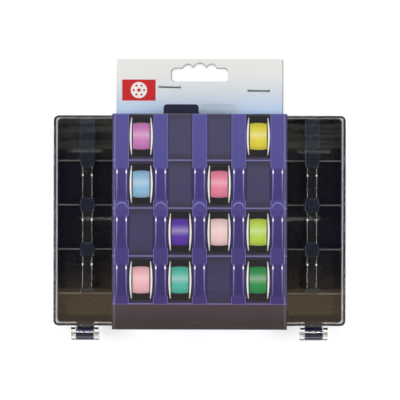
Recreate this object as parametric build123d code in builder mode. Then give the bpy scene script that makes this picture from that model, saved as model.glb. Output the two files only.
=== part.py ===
from build123d import *
from math import cos, radians, sin
import os

# Bobbin storage box in its hanging card wrap, all sizes in millimetres.
#
# A navy tray with seven combs and four cross dividers holds bobbins on edge, and a clear lid closes it on two hinges. A
# printed card wraps the middle of the box and runs out past the thumb tabs as a stapled header with a hanging slot.
#
# Frame: +Z up, X across the box, -Y at the hinges, +Y at the thumb tabs. The origin lies on the underside of the card,
# below the middle of the box.

# Cells, for bobbins that stand on edge
columns = 8
rows = 4
slot_w = 12.4  # clear width of a cell, between two combs
cell_l = 23.4  # clear length of a cell, between two dividers
end_cell_l = 22.5  # clear length of the cells along the wall with the thumb tabs
trough_l = 14.9  # open trough along the hinge wall
divider_t = 1.0
divider_h = 12.85
divider_edge_r = 0.45
comb_w = 8.1  # width of a comb at its crossings
waist_w = 6.0  # width of a comb along the cells
comb_h = 17.95
waist_drop = 0.8  # how far the waisted stretches lie below the crossings
crossing_l = 8.0  # full width stretch at the two middle dividers
shoulder_l = 3.8  # full width past the first divider
toe_l = 3.3  # full width at the trough end
taper_l = 1.8  # length over which a crossing narrows to the waist
comb_skin = 1.2  # wall of the comb round its hollow underside
comb_edge_r = 0.6
waist_edge_r = 0.8
plan_r = 1.0
ring_d = 6.3  # ring mark on each comb, above the second divider
ring_w = 0.5
ring_depth = 0.2

# Shells
wall = 1.3
floor_t = 1.6
roof_t = 1.4
tray_h = 15.0
lid_h = 9.6
corner_r = 3.0
least_corner_r = 0.2  # inside corners, where the wall is thicker than the outside radius
edge_r = 1.0
lip_t = 0.55  # tongue on the tray's rim, and the rebate in the lid that it enters
lip_h = 1.5
lip_side_gap = 0.1
lip_top_gap = 0.1
groove_depth = 0.5  # grooves in the side walls, for the divider ends
seat_gap = 0.1  # clearance where combs, dividers and grooves meet
comb_end_gap = 0.3

# Hinges
hinge_inset = 16.45  # from the side of the box to the middle of a hinge
hinge_reach = 5.45  # from the hinge wall to the pin
barrel_d = 7.2
barrel_w = 9.6
ear_t = 2.45
ear_gap = 0.3
pin_d = 2.4
pin_play = 0.1  # on the diameter, between pin and barrel

# Thumb tabs
tab_w = 19.5
tab_l = 6.9
tab_t = 1.8
tab_corner_r = 2.0
tab_gap = 1.1  # between the tray's tab and the lid's
tab_bite = 0.6  # how deep a tab or hinge arm runs into its wall

# Card wrap
card_t = 0.45
sleeve_hinge_gap = 7.95  # from the edge of the card to a hinge
side_gap = 0.4  # between the card and the box's tab wall
hinge_side_gap = 1.45  # between the card and the box's hinge wall, where it bulges out of its creases
top_gap = 0.1  # between the card and the lid
crease_gap = 0.3  # open crease between the cover and the panel under the box
notch_gap = 1.4  # card cut back round the thumb tabs
notch_rise = 0.5

# Header
header_l = 33.35  # from the wrapped wall to the end of the header
header_rise = 0.5  # the header springs up this far off the table
header_bend_l = 4.0
header_front_gap = 0.35
eye_w = 32.0  # hanging slot, of the usual shop size
eye_h = 7.2
eye_from_end = 12.7
eye_corner_r = 2.2
eye_side_x = 6.9  # the two side humps
eye_side_h = 2.3
eye_foot_x = 9.6
eye_cusp_x = 3.9
eye_cusp_drop = 1.5
eye_middle_h = 2.9

# Staples
staple_l = 12.3
staple_wire_w = 0.8
staple_wire_t = 0.4
staple_foot_l = 4.0
staple_hole_gap = 0.05
staple_left_x = -17.0
staple_left_from_end = 16.1
staple_left_tilt = -1.5
staple_right_x = 33.5
staple_right_from_end = 18.1
staple_right_tilt = -0.5

# Box sizes that follow
inner_w = columns * slot_w + (columns - 1) * comb_w
inner_d = end_cell_l + (rows - 1) * cell_l + rows * divider_t + trough_l
box_w = inner_w + 2 * wall
box_d = inner_d + 2 * wall
column_pitch = slot_w + comb_w
row_pitch = cell_l + divider_t
tray_z = card_t
floor_z = tray_z + floor_t
parting_z = tray_z + tray_h
roof_z = parting_z + lid_h
inner_corner_r = max(corner_r - wall, least_corner_r)
rebate_t = lip_t + lip_side_gap
comb_xs = [(i - columns / 2) * column_pitch for i in range(1, columns)]
divider_ys = [inner_d / 2 - end_cell_l - divider_t / 2 - i * row_pitch for i in range(rows)]
comb_front = inner_d / 2 - comb_end_gap
comb_back = divider_ys[-1] + divider_t / 2 + seat_gap

# Hinge, tab and card places that follow
hinge_x = box_w / 2 - hinge_inset
hinge_y = -box_d / 2 - hinge_reach
hinge_w = barrel_w + 2 * (ear_gap + ear_t)
tab_span = 2 * tab_w + tab_gap
sleeve_w = 2 * (hinge_x - hinge_w / 2 - sleeve_hinge_gap)
card_y = box_d / 2 + side_gap + card_t
card_back_y = -box_d / 2 - hinge_side_gap - card_t
cover_z = roof_z + top_gap
cover_top = cover_z + card_t
header_y = card_y + header_l
bend_y = card_y + header_bend_l
notch_top = parting_z + tab_t + notch_rise
eye_y = header_y - eye_from_end
staples = {
    "staple_left": (staple_left_x, header_y - staple_left_from_end, staple_left_tilt),
    "staple_right": (staple_right_x, header_y - staple_right_from_end, staple_right_tilt),
}

os.makedirs("parts", exist_ok=True)


def hinge_plane(x):
    """The plane across a hinge at x, with its own x towards the box and its own y up."""
    return Plane(origin=(x, hinge_y, parting_z), x_dir=(0, 1, 0), z_dir=(1, 0, 0))


def staple_plane(x, y, tilt, z):
    """The plane along a staple's wire, with its own x along the crown and its own y up."""
    along = radians(tilt)
    return Plane(origin=(x, y, z), x_dir=(cos(along), sin(along), 0), z_dir=(sin(along), -cos(along), 0))


def crossing_outline(low, high):
    """Corners of a full width stretch of a comb, which narrows at each end that meets a waist."""
    side, waist = comb_w / 2, waist_w / 2
    low_end = [(-side, low + taper_l), (-waist, low), (waist, low), (side, low + taper_l)]
    high_end = [(side, high - taper_l), (waist, high), (-waist, high), (-side, high - taper_l)]
    if low == comb_back:
        low_end = [(-side, low), (side, low)]
    if high == comb_front:
        high_end = [(side, high), (-side, high)]
    return low_end + high_end


# The hanging slot through both header layers: a rounded bar with three humps along its top, the middle one highest
eye_top = eye_y + eye_h
with BuildSketch() as hang_slot:
    with Locations((0, eye_y + eye_h / 2)):
        RectangleRounded(eye_w, eye_h, eye_corner_r)
    with BuildLine():
        cusp_y = eye_top - eye_cusp_drop
        ThreePointArc((eye_cusp_x, cusp_y), (0, eye_top + eye_middle_h), (-eye_cusp_x, cusp_y))
        ThreePointArc((-eye_cusp_x, cusp_y), (-eye_side_x, eye_top + eye_side_h), (-eye_foot_x, eye_top))
        Line((-eye_foot_x, eye_top), (-eye_foot_x, eye_y + eye_h / 2))
        Line((-eye_foot_x, eye_y + eye_h / 2), (eye_foot_x, eye_y + eye_h / 2))
        Line((eye_foot_x, eye_y + eye_h / 2), (eye_foot_x, eye_top))
        ThreePointArc((eye_foot_x, eye_top), (eye_side_x, eye_top + eye_side_h), (eye_cusp_x, cusp_y))
    make_face()

# Four holes for the staple legs
leg_x = staple_l / 2 - staple_wire_t / 2
hole_l = staple_wire_t + 2 * staple_hole_gap
hole_w = staple_wire_w + 2 * staple_hole_gap
with BuildSketch() as staple_holes:
    for x, y, tilt in staples.values():
        for leg in (-leg_x, leg_x):
            with Locations((x + leg * cos(radians(tilt)), y + leg * sin(radians(tilt)))):
                Rectangle(hole_l, hole_w, rotation=tilt)

# Tray: floor, four walls, a tongue round the rim, grooves for the dividers, the thumb tab and two hinge barrels
with BuildPart() as tray_shell:
    with BuildSketch(Plane.XY.offset(tray_z)):
        RectangleRounded(box_w, box_d, corner_r)
    extrude(amount=tray_h)
    fillet(tray_shell.faces().sort_by(Axis.Z)[0].edges(), edge_r)
    with BuildSketch(Plane.XY.offset(parting_z)):
        RectangleRounded(inner_w + 2 * lip_t, inner_d + 2 * lip_t, inner_corner_r + lip_t)
    extrude(amount=lip_h)
    with BuildSketch(Plane.XY.offset(floor_z)):
        RectangleRounded(inner_w, inner_d, inner_corner_r)
    extrude(amount=tray_h + lip_h, mode=Mode.SUBTRACT)
    with BuildSketch(Plane.XY.offset(floor_z)):
        with Locations(*[(0, y) for y in divider_ys]):
            Rectangle(inner_w + 2 * groove_depth, divider_t + 2 * seat_gap)
    extrude(amount=divider_h + seat_gap, mode=Mode.SUBTRACT)
    with BuildSketch(Plane.XY.offset(parting_z)) as tray_tab:
        with Locations((-tab_gap / 2 - tab_w / 2, box_d / 2 - tab_bite + (tab_l + tab_bite) / 2)):
            Rectangle(tab_w, tab_l + tab_bite)
        fillet(tray_tab.vertices().group_by(Axis.Y)[-1], tab_corner_r)
    extrude(amount=-tab_t)
    for side in (-1, 1):
        with BuildSketch(hinge_plane(side * hinge_x)):
            Circle(barrel_d / 2)
            with Locations(((hinge_reach + tab_bite) / 2, -barrel_d / 4)):
                Rectangle(hinge_reach + tab_bite, barrel_d / 2)
        extrude(amount=barrel_w / 2, both=True)
        with BuildSketch(hinge_plane(side * hinge_x)):
            Circle((pin_d + pin_play) / 2)
        extrude(amount=barrel_w, both=True, mode=Mode.SUBTRACT)
tray_shell.part.label = "tray_shell"
export_step(tray_shell.part, "parts/tray_shell.step")

# Combs: hollow ribs along Y that stand on the floor, bridge the dividers and narrow to a waist along each cell
crossings = [
    (divider_ys[0] - shoulder_l, comb_front),
    *[(y - crossing_l / 2, y + crossing_l / 2) for y in divider_ys[1:-1]],
    (comb_back, comb_back + toe_l),
]
comb_l = comb_front - comb_back
comb_y = (comb_front + comb_back) / 2
for number, x in enumerate(comb_xs, start=1):
    with BuildPart() as comb:
        with BuildSketch(Plane((x, 0, floor_z))) as foot:
            with Locations((0, comb_y)):
                Rectangle(waist_w, comb_l)
            for low, high in crossings:
                Polygon(*crossing_outline(low, high), align=None)
            fillet(foot.vertices(), plan_r)
        extrude(amount=comb_h - waist_drop)
        fillet(comb.faces().sort_by(Axis.Z)[-1].edges(), waist_edge_r)
        with BuildSketch(Plane((x, 0, floor_z))) as pads:
            for low, high in crossings:
                Polygon(*crossing_outline(low, high), align=None)
            fillet(pads.vertices(), plan_r)
        extrude(amount=comb_h)
        fillet(comb.faces().sort_by(Axis.Z)[-len(crossings) :].edges(), comb_edge_r)
        with BuildSketch(Plane((x, 0, floor_z))):
            with Locations((0, comb_y)):
                Rectangle(waist_w - 2 * comb_skin, comb_l - 2 * comb_skin)
        extrude(amount=comb_h - waist_drop - comb_skin, mode=Mode.SUBTRACT)
        with BuildSketch(Plane((x, 0, floor_z))):
            with Locations(*[(0, y) for y in divider_ys[:-1]]):
                Rectangle(comb_w, divider_t + 2 * seat_gap)
        extrude(amount=divider_h + seat_gap, mode=Mode.SUBTRACT)
        with BuildSketch(Plane((x, divider_ys[1], floor_z + comb_h))):
            Circle(ring_d / 2)
            Circle(ring_d / 2 - ring_w, mode=Mode.SUBTRACT)
        extrude(amount=-ring_depth, mode=Mode.SUBTRACT)
    comb.part.label = f"comb_{number}"
    export_step(comb.part, f"parts/comb_{number}.step")

# Cross dividers: strips across the whole tray, their ends in the grooves of the side walls
divider_l = inner_w + 2 * (groove_depth - seat_gap)
for number, y in enumerate(divider_ys, start=1):
    with BuildPart() as cross_divider:
        with BuildSketch(Plane((0, y, floor_z))):
            Rectangle(divider_l, divider_t)
        extrude(amount=divider_h)
        fillet(cross_divider.edges().filter_by(Axis.X).group_by(Axis.Z)[-1], divider_edge_r)
    cross_divider.part.label = f"cross_divider_{number}"
    export_step(cross_divider.part, f"parts/cross_divider_{number}.step")

# Lid: roof, four walls with a rebate for the tray's tongue, the thumb tab and two ears at each hinge
with BuildPart() as lid:
    with BuildSketch(Plane.XY.offset(parting_z)):
        RectangleRounded(box_w, box_d, corner_r)
    extrude(amount=lid_h)
    fillet(lid.faces().sort_by(Axis.Z)[-1].edges(), edge_r)
    with BuildSketch(Plane.XY.offset(parting_z)):
        RectangleRounded(inner_w, inner_d, inner_corner_r)
    extrude(amount=lid_h - roof_t, mode=Mode.SUBTRACT)
    with BuildSketch(Plane.XY.offset(parting_z)):
        RectangleRounded(inner_w + 2 * rebate_t, inner_d + 2 * rebate_t, inner_corner_r + rebate_t)
    extrude(amount=lip_h + lip_top_gap, mode=Mode.SUBTRACT)
    with BuildSketch(Plane.XY.offset(parting_z)) as lid_tab:
        with Locations((tab_gap / 2 + tab_w / 2, box_d / 2 - tab_bite + (tab_l + tab_bite) / 2)):
            Rectangle(tab_w, tab_l + tab_bite)
        fillet(lid_tab.vertices().group_by(Axis.Y)[-1], tab_corner_r)
    extrude(amount=tab_t)
    for side in (-1, 1):
        for end in (-1, 1):
            ear_x = side * hinge_x + end * (barrel_w / 2 + ear_gap + ear_t / 2)
            with BuildSketch(hinge_plane(ear_x)):
                Circle(barrel_d / 2)
                with Locations(((hinge_reach + tab_bite) / 2, barrel_d / 4)):
                    Rectangle(hinge_reach + tab_bite, barrel_d / 2)
                Circle(pin_d / 2, mode=Mode.SUBTRACT)
            extrude(amount=ear_t / 2, both=True)
lid.part.label = "lid"
export_step(lid.part, "parts/lid.step")

# Hinge pins: pressed into the lid's ears, running in the tray's barrels
for side, name in ((-1, "hinge_pin_left"), (1, "hinge_pin_right")):
    with BuildPart() as hinge_pin:
        with BuildSketch(hinge_plane(side * hinge_x)):
            Circle(pin_d / 2)
        extrude(amount=hinge_w / 2, both=True)
    hinge_pin.part.label = name
    export_step(hinge_pin.part, f"parts/{name}.step")

# Card under the box: the panel it stands on, the strip up the hinge wall and the back layer of the header
with BuildPart() as sleeve_base:
    with BuildSketch(Plane.YZ):
        with BuildLine():
            Polyline(
                (card_back_y, 0),
                (card_y, 0),
                (bend_y, header_rise),
                (header_y, header_rise),
                (header_y, header_rise + card_t),
                (bend_y, header_rise + card_t),
                (card_y, card_t),
                (card_back_y + card_t, card_t),
                (card_back_y + card_t, parting_z),
                (card_back_y, parting_z),
                close=True,
            )
        make_face()
    extrude(amount=sleeve_w / 2, both=True)
    extrude(hang_slot.sketch, amount=cover_z, mode=Mode.SUBTRACT)
    extrude(staple_holes.sketch, amount=cover_z, mode=Mode.SUBTRACT)
sleeve_base.part.label = "sleeve_base"
export_step(sleeve_base.part, "parts/sleeve_base.step")

# Front layer of the header, on the back layer, from just past the box to the header's end
front_y = card_y + header_front_gap
front_z = card_t + header_rise * header_front_gap / header_bend_l
with BuildPart() as header_front:
    with BuildSketch(Plane.YZ):
        with BuildLine():
            Polyline(
                (front_y, front_z),
                (bend_y, header_rise + card_t),
                (header_y, header_rise + card_t),
                (header_y, header_rise + 2 * card_t),
                (bend_y, header_rise + 2 * card_t),
                (front_y, front_z + card_t),
                close=True,
            )
        make_face()
    extrude(amount=sleeve_w / 2, both=True)
    extrude(hang_slot.sketch, amount=cover_z, mode=Mode.SUBTRACT)
    extrude(staple_holes.sketch, amount=cover_z, mode=Mode.SUBTRACT)
header_front.part.label = "header_front"
export_step(header_front.part, "parts/header_front.step")

# Staples: flat wire with its crown on the header's front, its legs through both layers and its feet clinched behind
crown_top = staple_wire_t + 2 * card_t
for name, (x, y, tilt) in staples.items():
    with BuildPart() as staple:
        with BuildSketch(staple_plane(x, y, tilt, header_rise)):
            with BuildLine():
                Polyline(
                    (-staple_l / 2, -staple_wire_t),
                    (-staple_l / 2 + staple_foot_l, -staple_wire_t),
                    (-staple_l / 2 + staple_foot_l, 0),
                    (-staple_l / 2 + staple_wire_t, 0),
                    (-staple_l / 2 + staple_wire_t, 2 * card_t),
                    (staple_l / 2 - staple_wire_t, 2 * card_t),
                    (staple_l / 2 - staple_wire_t, 0),
                    (staple_l / 2 - staple_foot_l, 0),
                    (staple_l / 2 - staple_foot_l, -staple_wire_t),
                    (staple_l / 2, -staple_wire_t),
                    (staple_l / 2, crown_top),
                    (-staple_l / 2, crown_top),
                    close=True,
                )
            make_face()
        extrude(amount=staple_wire_w / 2, both=True)
    staple.part.label = name
    export_step(staple.part, f"parts/{name}.step")

# Card on the lid's hinge wall, up to the crease that the cover folds on
with BuildPart() as sleeve_hinge_strip:
    with BuildSketch(Plane((0, card_back_y + card_t / 2, parting_z))):
        Rectangle(sleeve_w, card_t)
    extrude(amount=cover_z - parting_z)
sleeve_hinge_strip.part.label = "sleeve_hinge_strip"
export_step(sleeve_hinge_strip.part, "parts/sleeve_hinge_strip.step")

# Printed cover: the panel over the lid and the strip down the tab wall, cut back round the thumb tabs
with BuildPart() as sleeve_cover:
    with BuildSketch(Plane.YZ):
        with BuildLine():
            Polyline(
                (card_back_y, cover_z),
                (card_y - card_t, cover_z),
                (card_y - card_t, card_t + crease_gap),
                (card_y, card_t + crease_gap),
                (card_y, cover_top),
                (card_back_y, cover_top),
                close=True,
            )
        make_face()
    extrude(amount=sleeve_w / 2, both=True)
    with BuildSketch(Plane((0, card_y - card_t / 2, 0))):
        Rectangle(tab_span + 2 * notch_gap, 2 * card_t)
    extrude(amount=notch_top, mode=Mode.SUBTRACT)
sleeve_cover.part.label = "sleeve_cover"
export_step(sleeve_cover.part, "parts/sleeve_cover.step")
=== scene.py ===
"""Looks of a bobbin storage box in its hanging card wrap.

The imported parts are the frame. Tray, combs, dividers, lid, pins, header and base keep their meshes and get their
finishes here. The printed cover, which bends at its crease, and the two staples are surfaces worked out in this file.
"""
import logging
import math
from collections.abc import Sequence
from dataclasses import dataclass, field, replace
from enum import Enum

import bpy
import numpy as np
from mathutils import Matrix, Vector


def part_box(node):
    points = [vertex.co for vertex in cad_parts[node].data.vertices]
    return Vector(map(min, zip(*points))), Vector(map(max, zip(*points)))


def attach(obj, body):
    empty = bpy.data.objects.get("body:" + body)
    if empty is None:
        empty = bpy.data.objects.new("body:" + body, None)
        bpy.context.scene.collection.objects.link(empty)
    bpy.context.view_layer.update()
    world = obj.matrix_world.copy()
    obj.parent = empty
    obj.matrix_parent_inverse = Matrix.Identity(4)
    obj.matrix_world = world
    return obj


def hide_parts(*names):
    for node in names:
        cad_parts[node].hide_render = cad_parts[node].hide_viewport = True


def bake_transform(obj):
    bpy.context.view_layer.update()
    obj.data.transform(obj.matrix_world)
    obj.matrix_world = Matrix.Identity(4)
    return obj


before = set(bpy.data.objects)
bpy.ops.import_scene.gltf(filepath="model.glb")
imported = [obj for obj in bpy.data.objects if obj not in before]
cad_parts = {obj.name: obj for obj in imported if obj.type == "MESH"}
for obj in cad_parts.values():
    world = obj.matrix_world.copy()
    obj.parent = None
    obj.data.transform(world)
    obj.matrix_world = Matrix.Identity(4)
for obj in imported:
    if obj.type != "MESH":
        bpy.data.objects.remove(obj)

log = logging.getLogger("bobbin_box")

MM = 0.001
REST_PLACE = "rest_place"
Colour = tuple[float, float, float]


def srgb(red: int, green: int, blue: int) -> Colour:
    """Turns a display colour into the linear one that shaders take.

    Args:
        red: Red, 0 to 255.
        green: Green, 0 to 255.
        blue: Blue, 0 to 255.

    Returns:
        The linear colour, 0 to 1.
    """
    parts = np.array((red, green, blue)) / 255.0
    linear = np.where(parts <= 0.04045, parts / 12.92, ((parts + 0.055) / 1.055) ** 2.4)
    return tuple(float(v) for v in linear)


def node_box(*nodes: str) -> tuple[np.ndarray, np.ndarray]:
    """The common box of some CAD nodes at rest.

    Args:
        nodes: Names of nodes.

    Returns:
        Lowest and highest corner, in metres.
    """
    corners = [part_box(node) for node in nodes]
    lows = np.array([tuple(low) for low, _ in corners])
    highs = np.array([tuple(high) for _, high in corners])
    return lows.min(axis=0), highs.max(axis=0)


class Field:
    """A number that varies over a surface: a socket with ordinary arithmetic, which adds math nodes to its graph."""

    def __init__(self, graph: "Graph", socket: bpy.types.NodeSocket) -> None:
        """Wraps a socket of graph."""
        self.graph = graph
        self.socket = socket

    def __add__(self, other: "Number") -> "Field":
        """Sum."""
        return self.graph.math("ADD", self, other)

    def __sub__(self, other: "Number") -> "Field":
        """Difference."""
        return self.graph.math("SUBTRACT", self, other)

    def __rsub__(self, other: "Number") -> "Field":
        """Difference from a number."""
        return self.graph.math("SUBTRACT", other, self)

    def __mul__(self, other: "Number") -> "Field":
        """Product."""
        return self.graph.math("MULTIPLY", self, other)

    def __truediv__(self, other: "Number") -> "Field":
        """Quotient."""
        return self.graph.math("DIVIDE", self, other)

    def __abs__(self) -> "Field":
        """Size without sign."""
        return self.graph.math("ABSOLUTE", self)

    def floor(self) -> "Field":
        """Whole part, rounded down."""
        return self.graph.math("FLOOR", self)

    def sine(self) -> "Field":
        """Sine, of radians."""
        return self.graph.math("SINE", self)

    def most(self, other: "Number") -> "Field":
        """The larger of two."""
        return self.graph.math("MAXIMUM", self, other)

    def near(self, place: "Number", reach: float, soft: float) -> "Field":
        """1 within reach of a place and 0 further off, with a smooth step that is soft wide."""
        return abs(self - place).below(reach, soft)

    def above(self, edge: float, soft: float) -> "Field":
        """0 below edge and 1 above it, with a smooth step that is soft wide."""
        return self.graph.ramp(self, edge - soft / 2, edge + soft / 2)

    def below(self, edge: float, soft: float) -> "Field":
        """1 below edge and 0 above it, with a smooth step that is soft wide."""
        return self.graph.ramp(self, edge + soft / 2, edge - soft / 2)


Number = float | Field


class Graph:
    """Adds nodes and links to one node tree."""

    def __init__(self, tree: bpy.types.NodeTree, place: bpy.types.NodeSocket | None = None) -> None:
        """Starts on a tree, with whatever it holds.

        Args:
            tree: Where the nodes go.
            place: The point on the piece, or None for its Object coordinates.
        """
        self.tree = tree
        self.place = place

    def node(self, kind: str, **settings: object) -> bpy.types.Node:
        """Adds a node.

        Args:
            kind: The node's type.
            settings: Properties to set on it.

        Returns:
            The node.
        """
        made = self.tree.nodes.new(kind)
        for name, value in settings.items():
            setattr(made, name, value)
        return made

    def feed(self, socket: bpy.types.NodeSocket, value: object) -> None:
        """Links a field or socket to an input, or sets the input to a plain value.

        Args:
            socket: The input.
            value: A field, a socket, a colour or a number.
        """
        if isinstance(value, Field):
            value = value.socket
        if isinstance(value, bpy.types.NodeSocket):
            self.tree.links.new(value, socket)
        elif isinstance(value, tuple) and len(value) == 3 and socket.type == "RGBA":
            socket.default_value = (*value, 1.0)
        else:
            socket.default_value = value

    def math(self, operation: str, *values: Number) -> Field:
        """Adds a math node.

        Args:
            operation: Blender's name for it.
            values: What goes into it, in order.

        Returns:
            Its result.
        """
        made = self.node("ShaderNodeMath", operation=operation)
        for socket, value in zip(made.inputs, values):
            self.feed(socket, value)
        return Field(self, made.outputs[0])

    def ramp(self, value: Field, low: float, high: float) -> Field:
        """Maps a value smoothly onto 0 to 1.

        Args:
            value: The value.
            low: Where the result is 0. It may be the larger of the two, which turns the step round.
            high: Where the result is 1.

        Returns:
            The step.
        """
        made = self.node("ShaderNodeMapRange", interpolation_type="SMOOTHSTEP")
        turned = low > high
        self.feed(made.inputs["Value"], value)
        made.inputs["From Min"].default_value = min(low, high)
        made.inputs["From Max"].default_value = max(low, high)
        made.inputs["To Min"].default_value = 1.0 if turned else 0.0
        made.inputs["To Max"].default_value = 0.0 if turned else 1.0
        return Field(self, made.outputs["Result"])

    def mix(self, mask: object, under: object, over: object, blend: str = "MIX") -> bpy.types.NodeSocket:
        """Lays one colour over another.

        Args:
            mask: Share of the upper colour.
            under: Lower colour.
            over: Upper colour.
            blend: Blender's name for how they mix.

        Returns:
            The mixed colour.
        """
        made = self.node("ShaderNodeMix", data_type="RGBA", blend_type=blend)
        self.feed(made.inputs[0], mask)
        self.feed(made.inputs[6], under)
        self.feed(made.inputs[7], over)
        return made.outputs[2]

    def facing(self) -> tuple[Field, Field, Field]:
        """The direction that the piece faces.

        Returns:
            Its X, Y and Z.
        """
        parts = self.node("ShaderNodeSeparateXYZ")
        self.tree.links.new(self.node("ShaderNodeTexCoord").outputs["Normal"], parts.inputs[0])
        x, y, z = (Field(self, out) for out in parts.outputs)
        return x, y, z

    def point(self) -> bpy.types.NodeSocket:
        """The point on the piece.

        Returns:
            The point, in metres.
        """
        if self.place is None:
            self.place = self.node("ShaderNodeTexCoord").outputs["Object"]
        return self.place

    def axes(self) -> tuple[Field, Field, Field]:
        """The point on the piece, by axis.

        Returns:
            Its X, Y and Z, in millimetres.
        """
        parts = self.node("ShaderNodeSeparateXYZ")
        self.tree.links.new(self.point(), parts.inputs[0])
        x, y, z = (Field(self, out) * (1 / MM) for out in parts.outputs)
        return x, y, z

    def noise(self, scale: float, detail: float = 2.0, vector: object = None, roughness: float = 0.5) -> Field:
        """Smooth noise around 0.5.

        Args:
            scale: Waves to a metre.
            detail: Octaves.
            vector: Where it is read, or None for the point on the piece.
            roughness: Share of the finer octaves.

        Returns:
            The noise.
        """
        made = self.node("ShaderNodeTexNoise")
        self.feed(made.inputs["Vector"], self.point() if vector is None else vector)
        made.inputs["Scale"].default_value = scale
        made.inputs["Detail"].default_value = detail
        made.inputs["Roughness"].default_value = roughness
        return Field(self, made.outputs["Fac"])

    def stretched(self, x: float, y: float, z: float, turn: float = 0.0) -> bpy.types.NodeSocket:
        """The point on the piece, scaled and turned.

        Args:
            x: Scale along X.
            y: Scale along Y.
            z: Scale along Z.
            turn: Turn about Z, in degrees.

        Returns:
            The point.
        """
        made = self.node("ShaderNodeMapping")
        self.tree.links.new(self.point(), made.inputs["Vector"])
        made.inputs["Scale"].default_value = (x, y, z)
        made.inputs["Rotation"].default_value = (0, 0, math.radians(turn))
        return made.outputs[0]

    def bump(self, height: Field, distance: float, strength: float = 1.0) -> bpy.types.NodeSocket:
        """A normal from a height.

        Args:
            height: The height, mostly between 0 and 1.
            distance: How many metres a height of 1 stands off the surface.
            strength: Share of the effect.

        Returns:
            The normal.
        """
        made = self.node("ShaderNodeBump")
        made.inputs["Distance"].default_value = distance
        made.inputs["Strength"].default_value = strength
        self.feed(made.inputs["Height"], height)
        return made.outputs["Normal"]

    def surface(self, shader: bpy.types.Node, other: bpy.types.Node | None = None, share: Field | None = None) -> None:
        """Sends one or two shaders to the material's surface.

        Args:
            shader: The first shader.
            other: The second, or None.
            share: How much of the second is mixed in, or None to add it up.
        """
        if other is not None:
            both = self.node("ShaderNodeAddShader" if share is None else "ShaderNodeMixShader")
            if share is not None:
                self.feed(both.inputs[0], share)
            self.tree.links.new(shader.outputs[0], both.inputs[-2])
            self.tree.links.new(other.outputs[0], both.inputs[-1])
            shader = both
        output = self.node("ShaderNodeOutputMaterial")
        self.tree.links.new(shader.outputs[0], output.inputs["Surface"])


def empty_material(name: str) -> tuple[bpy.types.Material, Graph]:
    """Makes a material without nodes.

    Args:
        name: Its name.

    Returns:
        The material and its graph.
    """
    material = bpy.data.materials.new(name)
    material.use_nodes = True
    material.node_tree.nodes.clear()
    return material, Graph(material.node_tree)


class Group:
    """A shader node group: an effect that several finishes share."""

    def __init__(self, name: str, inputs: dict[str, float], outputs: dict[str, str]) -> None:
        """Starts an empty group.

        Args:
            name: Its name.
            inputs: Float inputs, with what each starts at.
            outputs: Output names, with their socket types.
        """
        self.tree = bpy.data.node_groups.new(name, "ShaderNodeTree")
        self.tree.interface.new_socket("Place", in_out="INPUT", socket_type="NodeSocketVector")
        for key, start in inputs.items():
            socket = self.tree.interface.new_socket(key, in_out="INPUT", socket_type="NodeSocketFloat")
            socket.default_value = start
        for key, kind in outputs.items():
            self.tree.interface.new_socket(key, in_out="OUTPUT", socket_type=kind)
        self.inside = self.tree.nodes.new("NodeGroupInput")
        self.graph = Graph(self.tree, self.inside.outputs["Place"])
        self.out = self.tree.nodes.new("NodeGroupOutput")

    def input(self, name: str) -> Field:
        """One of the group's inputs, from inside."""
        return Field(self.graph, self.inside.outputs[name])

    def put(self, name: str, value: object) -> None:
        """Sends a value to one of the group's outputs."""
        self.graph.feed(self.out.inputs[name], value)

    def use(self, graph: Graph, **values: object) -> bpy.types.Node:
        """Places the group in another graph.

        Args:
            graph: Where it goes.
            values: Its inputs by name.

        Returns:
            The group's node.
        """
        made = graph.node("ShaderNodeGroup", node_tree=self.tree)
        graph.feed(made.inputs["Place"], graph.point())
        for key, value in values.items():
            graph.feed(made.inputs[key], value)
        return made


class SharedEffects:
    """The effects that several finishes share, each built once."""

    def __init__(self) -> None:
        """Builds every group."""
        self.peel = self.moulded_peel()
        self.dust = self.fine_dust()
        self.hairlines = self.rub_marks()

    @staticmethod
    def moulded_peel() -> Group:
        """The slight waviness of a moulded face, with flow lines away from the gate.

        Formula: slow noise plus a little fast noise for the height, and a stretched noise for the flow lines.

        Returns:
            The group, with outputs Height and Variation.
        """
        group = Group(
            "moulded_peel", {"Flow": 0.4}, {"Height": "NodeSocketFloat", "Variation": "NodeSocketFloat"}
        )
        graph = group.graph
        slow = graph.noise(90.0, 2.0)
        fast = graph.noise(900.0, 2.0)
        flow = graph.noise(60.0, 3.0, graph.stretched(0.25, 2.2, 1.0, 8.0))
        group.put("Height", slow * 0.75 + fast * 0.25)
        group.put("Variation", (flow - 0.5) * group.input("Flow") + 0.5)
        return group

    @staticmethod
    def fine_dust() -> Group:
        """Specks of dust and lint: small cells of a Voronoi pattern, kept where a slow noise is high.

        Returns:
            The group, with output Mask.
        """
        group = Group("fine_dust", {"Amount": 0.5}, {"Mask": "NodeSocketFloat"})
        graph = group.graph
        cells = graph.node("ShaderNodeTexVoronoi", feature="F1")
        graph.tree.links.new(graph.point(), cells.inputs["Vector"])
        cells.inputs["Scale"].default_value = 420.0
        specks = Field(graph, cells.outputs["Distance"]).below(0.16, 0.10)
        patches = graph.noise(55.0, 3.0).above(0.56, 0.16)
        group.put("Mask", specks * patches * group.input("Amount"))
        return group

    @staticmethod
    def rub_marks() -> Group:
        """Hairline rub marks: two crossed, strongly stretched noises, each kept near its crest.

        Returns:
            The group, with output Mask.
        """
        group = Group("rub_marks", {"Amount": 0.5}, {"Mask": "NodeSocketFloat"})
        graph = group.graph
        first = graph.noise(1500.0, 2.0, graph.stretched(0.02, 1.0, 1.0, 24.0)).above(0.66, 0.05)
        second = graph.noise(1300.0, 2.0, graph.stretched(1.0, 0.03, 1.0, -11.0)).above(0.67, 0.05)
        patches = graph.noise(38.0, 2.0).above(0.50, 0.2)
        group.put("Mask", first.most(second) * patches * group.input("Amount"))
        return group


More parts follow.
